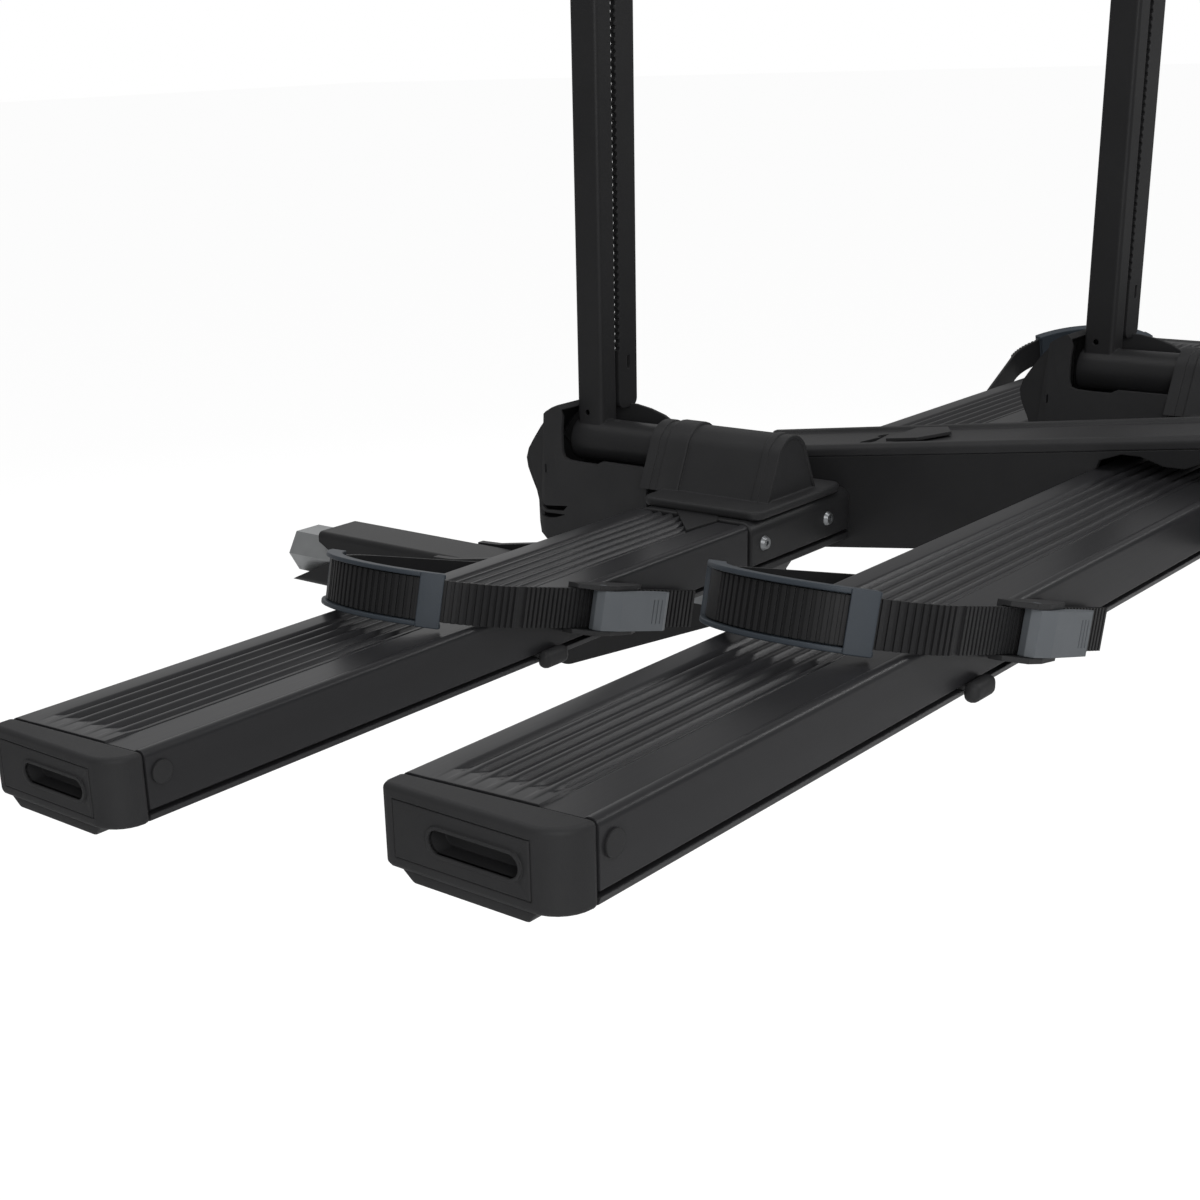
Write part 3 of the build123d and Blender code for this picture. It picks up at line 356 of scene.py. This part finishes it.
bpy.ops.mesh.bevel(offset=flange_corner, segments=5, affect="EDGES")
bpy.ops.object.mode_set(mode="OBJECT")
soften(flange, 0.002, 3, angle=50)
dome_piece = joined(body_hood, front_band, lip_band, rear_band, flange)
dome_piece.name = "banded_dome_a"
dome_twin = twin_of(dome_piece, "banded_dome_b", row_shift)
place_piece(dome_piece, moulding, "spine", "black_plastic", "dome_a")
place_piece(dome_twin, moulding, "spine", "black_plastic", "dome_b")

# Recess plate beside each dome: a thin black elastomer inlay, glued in where the tray's ribs
# are cut away on a slant.
inlay_line = [(-0.1520, -0.3967), (-0.1457, -0.4273), (-0.1647, -0.4390), (-0.1954, -0.4363)]
inlay_depth = 0.0015
inlay_thickness = 0.002
inlay = drawn(
    "recess_inlay_a", [(x, y, tray_top - inlay_depth) for x, y in inlay_line], (0, 0, inlay_thickness)
)
soften(inlay, 0.0003, 2)
inlay_twin = twin_of(inlay, "recess_inlay_b", row_shift)
place_piece(inlay, elastomer, "spine", "black_plastic")
place_piece(inlay_twin, elastomer, "spine", "black_plastic")

# Guards round the mast feet: thin moulded shells, open above for the tube, with a nose that
# narrows towards the vehicle and a high rounded far wall. They hang on the front of the domes.
guard_y = tray_y + 0.066
near_x = dome_x - 0.025
far_x = dome_x + 0.027
guard_wall = 0.0025
nose_start = guard_y + 0.088
nose_share = 0.62
mouth_end = guard_y + 0.0731
mouth_floor = tray_top + 0.010


def guard_outline(x, line):
    """Points across and up, in millimetres from the guard's corner, in the plane of one wall."""
    return [(x, guard_y + y / 1000, tray_top + z / 1000) for y, z in line]


side_line = [
    (-2, -30), (-2, 17), (36, 17), (41, 14.5), (54, 14.5), (66, 15), (70, 16.5), (71.8, 21), (72, 30),
    (71.8, 38), (70.9, 45), (71.6, 50), (75, 53), (80, 51), (86, 47.5), (92, 42), (99, 34), (106, 24.5),
    (111, 17), (113.2, 10), (112, 3), (108, -6), (104.5, -13), (102.6, -20), (102.2, -36), (101, -44),
    (60, -47), (30, -44),
]
guard = drawn("open_guard_a", guard_outline(near_x, side_line), (far_x - near_x, 0, 0))
bpy.ops.object.mode_set(mode="EDIT")
bpy.ops.mesh.select_all(action="SELECT")
bpy.ops.mesh.bisect(plane_co=(0, nose_start, 0), plane_no=(0, 1, 0))
bpy.ops.object.mode_set(mode="OBJECT")
pick(guard, "vertices", lambda place: place.y > nose_start + guard_wall)
bpy.ops.transform.resize(value=(nose_share, 1, 1), center_override=((near_x + far_x) / 2, guard_y, tray_top))
bpy.ops.object.mode_set(mode="OBJECT")
pick(
    guard,
    "faces",
    lambda centre, normal: abs(normal.x) < 0.3
    and centre.y < mouth_end
    and centre.z > mouth_floor
    or normal.y < -0.9
    and centre.y < guard_y,
)
bpy.ops.mesh.delete(type="FACE")
bpy.ops.object.mode_set(mode="OBJECT")
skin = guard.modifiers.new("skin", "SOLIDIFY")
skin.thickness = guard_wall
skin.offset = -1
bpy.ops.object.modifier_apply(modifier=skin.name)
slit = [(104, -19), (88, -20.5), (68, -18.5), (72, -22.5), (88, -23.5), (104, -22.5)]
lower_slit = [(104, -26), (86, -25.5), (70, -25.0), (80, -28.5), (104, -31)]
mark = [(86.6, 3.5), (86.6, 9.5), (88, 9.5), (88, 3.5)]
for line in (slit, lower_slit, mark):
    cut(guard, drawn("slit_tool", guard_outline(near_x - 0.01, line), (0.0175, 0, 0)))
soften(guard, 0.0007, 2, angle=38)
far_line = [
    (2, 14), (2, 31), (8, 37), (19, 43), (31, 46.5), (43, 48.5), (58, 49), (70, 49.5), (80, 47), (80, 14),
]
far_wall = drawn("far_wall", guard_outline(far_x - guard_wall, far_line), (0.0028, 0, 0))
soften(far_wall, 0.0007, 2, angle=38)
guard = joined(guard, far_wall)
guard_twin = twin_of(guard, "open_guard_b", row_shift)
place_piece(guard, moulding, "spine", "powder_coat", "shroud_a")
place_piece(guard_twin, moulding, "spine", "powder_coat", "shroud_b")

# Top cover of the beam: a moulded channel with a raised rail along each side and a hand slot
# near the dome, behind which the small cover plate lies. It is clipped onto the beam's seam.
cover_y = -0.354
cover_z = 0.14326
cover_run = (0, -0.436, 0.055808)
rail_line = [
    (-40, 0), (-40, 5), (-37, 8), (-31.5, 8), (-29.5, 5.2),
    (29.5, 5.2), (31.5, 8), (37, 8), (40, 5), (40, 0),
]
cover = drawn("railed_cover", [(x / 1000, cover_y, cover_z + z / 1000) for x, z in rail_line], cover_run)
soften(cover, 0.0012, 3, angle=25)
slot_y = cover_y - 0.105
slot_reach = 0.012
slot_radius = 0.0055
slot_line = []
for side, first in ((-1, 90), (1, 0)):
    for step in range(7):
        angle = radians(first + step * 30)
        slot_line.append((side * slot_reach + slot_radius * cos(angle), slot_radius * sin(angle)))
cut(cover, drawn("slot_tool", [(x, slot_y + y, 0.145) for x, y in slot_line], (0, 0, 0.03)))
bpy.ops.object.select_all(action="DESELECT")
cover.select_set(True)
bpy.context.view_layer.objects.active = cover
bpy.ops.object.shade_smooth_by_angle(angle=radians(32))
place_piece(cover, moulding, "spine", "black_plastic", "spine_cap")

# Trays: aluminium pressed through a die, blasted and anodised black, with soft ribs on top, a
# plain band before them and a slim groove low on each side. Each arm is sawn on a slant at its
# cap, where the ribs run out. The die's lines are drawn 0.7 mm wide, so that they show.
die_lines = (0.02, 1, 1)
anodised = finish_of(
    "black_anodised_aluminium",
    "#242425",
    "#2b2b2d",
    grain=0.0007,
    bump=0.12,
    roughness=(0.26, 0.36),
    stretch=die_lines,
    edge=0.0009,
)
tray_starts = {"a_near": -0.1645, "a_far": -0.0357, "b_near": 0.0895, "b_far": 0.2143}
arm_end = 0.660
cap_seam = 0.6535
seam_slant = (0.09, -0.007)
rib_fade = (0.022, 0.012)
rib_height = 0.003
rib_stop = 0.634


def row_of(name):
    """The middle line and the crest of the tray that a piece belongs to."""
    if name.startswith("a"):
        return tray_y, tray_top
    return tray_y + row_shift[1], tray_top + row_shift[2]


section = [(-41, -35), (-44, -34), (-45, -31), (-45, -30.8), (-41, -30.8), (-41, -28.2), (-45, -28.2)]
section += [(-45, -3.4), (-44.74, -2.1), (-44, -1), (-42.9, -0.26), (-41.6, 0), (-40, -0.1), (-38.6, -0.9)]
section += [(-20.2, -0.9), (-19.8, -1.5), (-19, -1.5), (-18.6, -0.9), (-16.6, -0.9), (-15.4, -2.4)]
for ridge in (-12, -3, 6, 15, 24):
    section += [(ridge - 2.7, -2.4), (ridge - 1.5, -0.5), (ridge - 0.8, 0)]
    section += [(ridge + 0.8, 0), (ridge + 1.5, -0.5), (ridge + 2.7, -2.4)]
section += [(28.8, -2.4), (30.2, -0.6), (31.5, -0.1), (41.6, 0), (43.4, -0.5), (44.5, -1.6), (45, -3.4)]
section += [(45, -28.2), (41, -28.2), (41, -30.8), (45, -30.8), (45, -31), (44, -34), (41, -35)]
for name in tray_names:
    side = 1 if "far" in name else -1
    row_y, row_top = row_of(name)
    start = tray_starts[name]
    slant = (side * seam_slant[0], seam_slant[1], 0)
    arm = drawn(
        f"ribbed_tray_{name}",
        [(start, row_y + y / 1000, row_top + z / 1000) for y, z in section],
        (side * arm_end - start, 0, 0),
    )
    bpy.ops.object.mode_set(mode="EDIT")
    bpy.ops.mesh.select_mode(type="VERT")
    bpy.ops.mesh.select_all(action="SELECT")
    bpy.ops.mesh.bisect(
        plane_co=(side * cap_seam, row_y, 0), plane_no=slant, use_fill=True, clear_outer=True
    )
    for reach in rib_fade:
        bpy.ops.mesh.select_all(action="SELECT")
        bpy.ops.mesh.bisect(plane_co=(side * (cap_seam - reach), row_y, 0), plane_no=slant)
    bpy.ops.mesh.select_all(action="DESELECT")
    bpy.ops.object.mode_set(mode="OBJECT")
    for corner in arm.data.vertices:
        over_ribs = -0.0195 < corner.co.y - row_y < 0.0305 and corner.co.z > row_top - rib_height
        corner.select = over_ribs and side * corner.co.x > rib_stop
    bpy.ops.object.mode_set(mode="EDIT")
    bpy.ops.transform.resize(value=(1, 1, 0), center_override=(0, 0, row_top), orient_type="GLOBAL")
    bpy.ops.object.mode_set(mode="OBJECT")
    even(arm, 28)
    place_piece(arm, anodised, "spine", "anodised", f"tray_{name}")

# End caps: grained mouldings pushed into the trays' ends, round at the outer corner, with a
# seamed panel on the end face, a deep obround slot in a slim rim and a chin underneath.
cap_end = 0.670
cap_height = 0.0349
half_width = 0.045
corner_radius = 0.017
panel_margin = 0.0022
seam_width = 0.0004
seam_depth = 0.0008
panel_proud = 0.0009
slot_shift = 0.002
slot_drop = 0.0175
slot_half_run = 0.017
slot_half_height = 0.005
slot_rim = 0.0016
slot_tool_reach = 0.02
chin_line = [(0.038, -0.034), (0.031, -0.0395), (-0.026, -0.0395), (-0.031, -0.034)]
row_step = (0, row_shift[1], row_shift[2])


def obround(x, grow=0.0):
    """The outline of a cap's slot at a place along the tray, grown outwards."""
    outline = []
    for step in range(18):
        angle = radians(step * 20 + 100)
        centre = -slot_half_run if step < 9 else slot_half_run
        across = tray_y - slot_shift + centre + (slot_half_height + grow) * cos(angle)
        outline.append((x, across, tray_top - slot_drop + (slot_half_height + grow) * sin(angle)))
    return outline


for arm, side in (("near", -1), ("far", 1)):
    end = side * cap_end
    rear = tray_y + half_width
    plan = [(side * 0.650, tray_y - half_width), (side * 0.657, rear), (side * 0.666, rear)]
    plan += [(side * 0.6688, rear - 0.0012), (end, rear - 0.004)]
    for step in range(8):
        angle = radians(step * 90 / 7)
        x = side * (cap_end - corner_radius * (1 - cos(angle)))
        plan.append((x, tray_y - half_width + corner_radius * (1 - sin(angle))))
    cap = drawn(f"slotted_cap_a_{arm}", [(x, y, tray_top - cap_height) for x, y in plan], (0, 0, cap_height))
    soften(cap, 0.0036, 4, angle=50)
    pick(cap, "faces", lambda centre, normal: normal.x * side > 0.99)
    bpy.ops.mesh.inset(thickness=panel_margin)
    bpy.ops.mesh.inset(thickness=seam_width)
    bpy.ops.mesh.extrude_region_move(TRANSFORM_OT_translate={"value": (-side * seam_depth, 0, 0)})
    bpy.ops.mesh.inset(thickness=seam_width)
    bpy.ops.mesh.extrude_region_move(TRANSFORM_OT_translate={"value": (side * panel_proud, 0, 0)})
    bpy.ops.object.mode_set(mode="OBJECT")
    tool_run = (side * slot_tool_reach, 0, 0)
    rim = drawn("rim", obround(end - side * 0.001, slot_rim), (side * 0.0018, 0, 0))
    cut(rim, drawn("rim_tool", obround(end - side * 0.01), tool_run))
    cut(cap, drawn("slot_tool", obround(end - side * 0.009), tool_run))
    even(cap)
    chin = drawn(
        "chin", [(end - side * 0.0015, tray_y + y, tray_top + z) for y, z in chin_line], (-side * 0.016, 0, 0)
    )
    soften(chin, 0.0012, 2)
    cap = joined(cap, rim, chin)
    cap_twin = twin_of(cap, f"slotted_cap_b_{arm}", row_step)
    place_piece(cap, moulding, "spine", "black_plastic", f"end_cap_a_{arm}", "end_panels")
    place_piece(cap_twin, moulding, "spine", "black_plastic", f"end_cap_b_{arm}", "end_panels")

# Strap guides: frames moulded in smooth slate-grey nylon, with two thin rails, a plate behind, a
# bar at one end and a broad band at the other. The strap is threaded through and lies smooth,
# without rungs, where it leaves the bar.
slate = finish_of(
    "slate_nylon",
    "#343a40",
    "#3d434a",
    grain=0.0009,
    bump=0.15,
    roughness=(0.34, 0.46),
    edge=0.0007,
)


def sector(centre, inner, outer, start, sweep):
    """Outline between two radii and two angles, in millimetres."""
    steps = max(2, int(sweep / 4))
    angles = [radians(start + sweep * step / steps) for step in range(steps + 1)]
    rim = [(centre[0] + outer * cos(a), centre[1] + outer * sin(a)) for a in angles]
    root = [(centre[0] + inner * cos(a), centre[1] + inner * sin(a)) for a in reversed(angles)]
    return rim + root


strap_spots = {"near": -0.347, "far": 0.400}
strap_tilt = radians(14.3)
arch_centre = (-49, 60)
stretch_half_width = 0.0112
for arm, side in (("near", 1), ("far", -1)):
    base = Vector((strap_spots[arm], tray_y - 0.0505, tray_top - 0.0075))
    along = Vector((side * cos(strap_tilt), 0, -sin(strap_tilt)))
    across = Vector((0, 1, 0))
    up = Vector((sin(strap_tilt), 0, side * cos(strap_tilt)))
    parts = []
    for inner, outer, start, sweep, low, high in (
        (56.2, 65.1, 118, 106, 11.9, 14.5),
        (56.2, 65.1, 118, 106, -14.5, -11.9),
        (56.2, 58.5, 119, 104, -12.4, 12.4),
        (58.3, 65.1, 118, 2.4, -14, 14),
        (62.9, 66.0, 212, 11.4, -14.7, 14.7),
        (56.2, 63.5, 222.2, 1.6, -14, -11.5),
    ):
        line = sector(arch_centre, inner, outer, start, sweep)
        corner = [tuple(base + along * u / 1000 + across * v / 1000 + up * low / 1000) for u, v in line]
        part = drawn("guide_part", corner, tuple(up * (high - low) / 1000))
        soften(part, 0.0006, 2, angle=40)
        parts.append(part)
    guide = joined(*parts)
    guide.name = f"framed_guide_a_{arm}"
    smooth_line = sector(arch_centre, 61.0, 62.6, 119.5, 26)
    low_edge = base - up * stretch_half_width
    stretch = drawn(
        f"smooth_strap_stretch_a_{arm}",
        [tuple(low_edge + along * u / 1000 + across * v / 1000) for u, v in smooth_line],
        tuple(up * stretch_half_width * 2),
    )
    even(stretch)
    guide_twin = twin_of(guide, f"framed_guide_b_{arm}", row_step)
    stretch_twin = twin_of(stretch, f"smooth_strap_stretch_b_{arm}", row_step)
    for row, frame_piece, smooth_piece in (("a", guide, stretch), ("b", guide_twin, stretch_twin)):
        place_piece(frame_piece, slate, f"strap_{row}_{arm}_body", "slate_plastic", f"guide_{row}_{arm}")
        place_piece(smooth_piece, elastomer, f"strap_{row}_{arm}_body", "strap_plastic")

# Feet that carry the straps in the trays' side grooves: a rounded nylon tongue under the buckle
# and a flat foot on the far side, each moulded with a rail that slides in the groove.
buckle_foot = 0.019
far_foot = 0.060
for arm, side in (("near", 1), ("far", -1)):
    buckle_x = strap_spots[arm] - side * buckle_foot
    far_foot_x = strap_spots[arm] + side * far_foot
    feet = []
    for place, size, round_width in (
        ((buckle_x, tray_y - 0.0492, tray_top - 0.0315), (0.021, 0.008, 0.010), 0.0036),
        ((buckle_x, tray_y - 0.0435, tray_top - 0.0295), (0.019, 0.005, 0.002), 0.0003),
        ((far_foot_x, tray_y + 0.0464, tray_top - 0.0270), (0.020, 0.0022, 0.0145), 0.0008),
        ((far_foot_x, tray_y + 0.0435, tray_top - 0.0295), (0.020, 0.005, 0.002), 0.0003),
    ):
        bpy.ops.object.select_all(action="DESELECT")
        bpy.ops.mesh.primitive_cube_add(size=1, location=place)
        foot = bpy.context.object
        foot.scale = size
        bpy.ops.object.transform_apply(location=True, rotation=True, scale=True)
        soften(foot, round_width, 4)
        feet.append(foot)
    foot_pair = joined(*feet)
    foot_pair.name = f"groove_feet_a_{arm}"
    pair_twin = twin_of(foot_pair, f"groove_feet_b_{arm}", row_step)
    for row, pair in (("a", foot_pair), ("b", pair_twin)):
        place_piece(pair, moulding, f"strap_{row}_{arm}_body", "black_plastic", f"groove_sliders_{row}_{arm}")

# Pale studio floor of matt backdrop paper, well below the rack, which hangs at the height of a
# receiver. To the camera it is lifted to white, and it keeps the rack's faint shadow.
floor_drop = 0.46
floor_width = 80
paper_lift = 0.7
paper_glow = 1.27
bpy.ops.object.select_all(action="DESELECT")
bpy.ops.mesh.primitive_plane_add(size=floor_width, location=(0, 0, -floor_drop))
floor = bpy.context.object
floor.name = "studio_floor"
paper = bpy.data.materials.new("white_backdrop_paper")
paper.use_nodes = True
plain = paper.node_tree.nodes["Principled BSDF"]
plain.inputs["Base Color"].default_value = linear("#f0f0f0")
plain.inputs["Roughness"].default_value = 0.95
plain.inputs["Specular IOR Level"].default_value = 0.1
glow = add_node(paper, "Emission", {"Color": (1, 1, 1, 1), "Strength": paper_glow})
seen_floor = add_node(paper, "LightPath")
share = add_node(paper, "Math", {1: paper_lift}, {0: (seen_floor, "Is Camera Ray")}, operation="MULTIPLY")
lit = add_node(paper, "MixShader", (), {"Fac": (share, "Value"), 1: (plain, "BSDF"), 2: (glow, "Emission")})
paper.node_tree.links.new(lit.outputs["Shader"], paper.node_tree.nodes["Material Output"].inputs["Surface"])
floor.data.materials.append(paper)

# White surroundings of the studio: full white to the camera, and softer as light and in
# reflections, so that the black finishes stay as dark as they are.
surround_light = 0.32
world = bpy.data.worlds.new("white_studio")
bpy.context.scene.world = world
world.use_nodes = True
sky = world.node_tree.nodes["Background"]
sky.inputs["Color"].default_value = (1, 1, 1, 1)
rays = world.node_tree.nodes.new("ShaderNodeLightPath")
seen = world.node_tree.nodes.new("ShaderNodeMapRange")
seen.inputs["To Min"].default_value = surround_light
seen.inputs["To Max"].default_value = 1.0
world.node_tree.links.new(rays.outputs["Is Camera Ray"], seen.inputs["Value"])
world.node_tree.links.new(seen.outputs["Result"], sky.inputs["Strength"])

# Soft boxes: a wide one overhead and towards the vehicle, a narrow strip above the trays that
# lifts their ribs, one by the camera, a weak one behind and one that draws the bright edges.
lamp_target = Vector((0, -0.5, 0.2))
for name, place, size, width, power in (
    ("overhead_softbox", (0.3, 0.4, 2.2), 2.4, 2.4, 5),
    ("overhead_strip", (-0.2, -0.6, 1.9), 3.0, 0.2, 14),
    ("side_softbox", (-1.8, -1.9, 0.9), 1.6, 1.6, 23),
    ("rear_softbox", (1.6, 1.9, 1.2), 1.6, 1.6, 4),
    ("edge_softbox", (1.1, -1.5, 1.1), 0.8, 0.3, 5),
):
    lamp = bpy.data.lights.new(name, "AREA")
    lamp.shape = "RECTANGLE"
    lamp.size = size
    lamp.size_y = width
    lamp.energy = power
    lamp_object = bpy.data.objects.new(name, lamp)
    bpy.context.scene.collection.objects.link(lamp_object)
    aim = lamp_target - Vector(place)
    lamp_object.location = place
    lamp_object.rotation_euler = aim.to_track_quat("-Z", "Y").to_euler()

# Camera at the photograph's viewpoint, off to the near end of the trays and above them. Its
# place, turn and lens come from a fit to the rack's own corners.
view_place = (-1.1193, -1.0920, 0.4260)
view_right = Vector((0.6501, -0.7591, -0.0355))
view_up = Vector((0.2910, 0.2055, 0.9344))
view_back = view_right.cross(view_up)
lens = bpy.data.cameras.new("photo_view")
lens.lens = 54.94
lens.sensor_width = 36
lens.shift_x = 0.0775
lens.shift_y = 0.1165
lens.clip_start = 0.05
camera = bpy.data.objects.new("photo_view", lens)
camera.matrix_world = Matrix.Translation(view_place) @ Matrix(
    (
        (view_right.x, view_up.x, view_back.x),
        (view_right.y, view_up.y, view_back.y),
        (view_right.z, view_up.z, view_back.z),
    )
).to_4x4()
bpy.context.scene.collection.objects.link(camera)
bpy.context.scene.camera = camera
bpy.context.scene.view_settings.view_transform = "Standard"
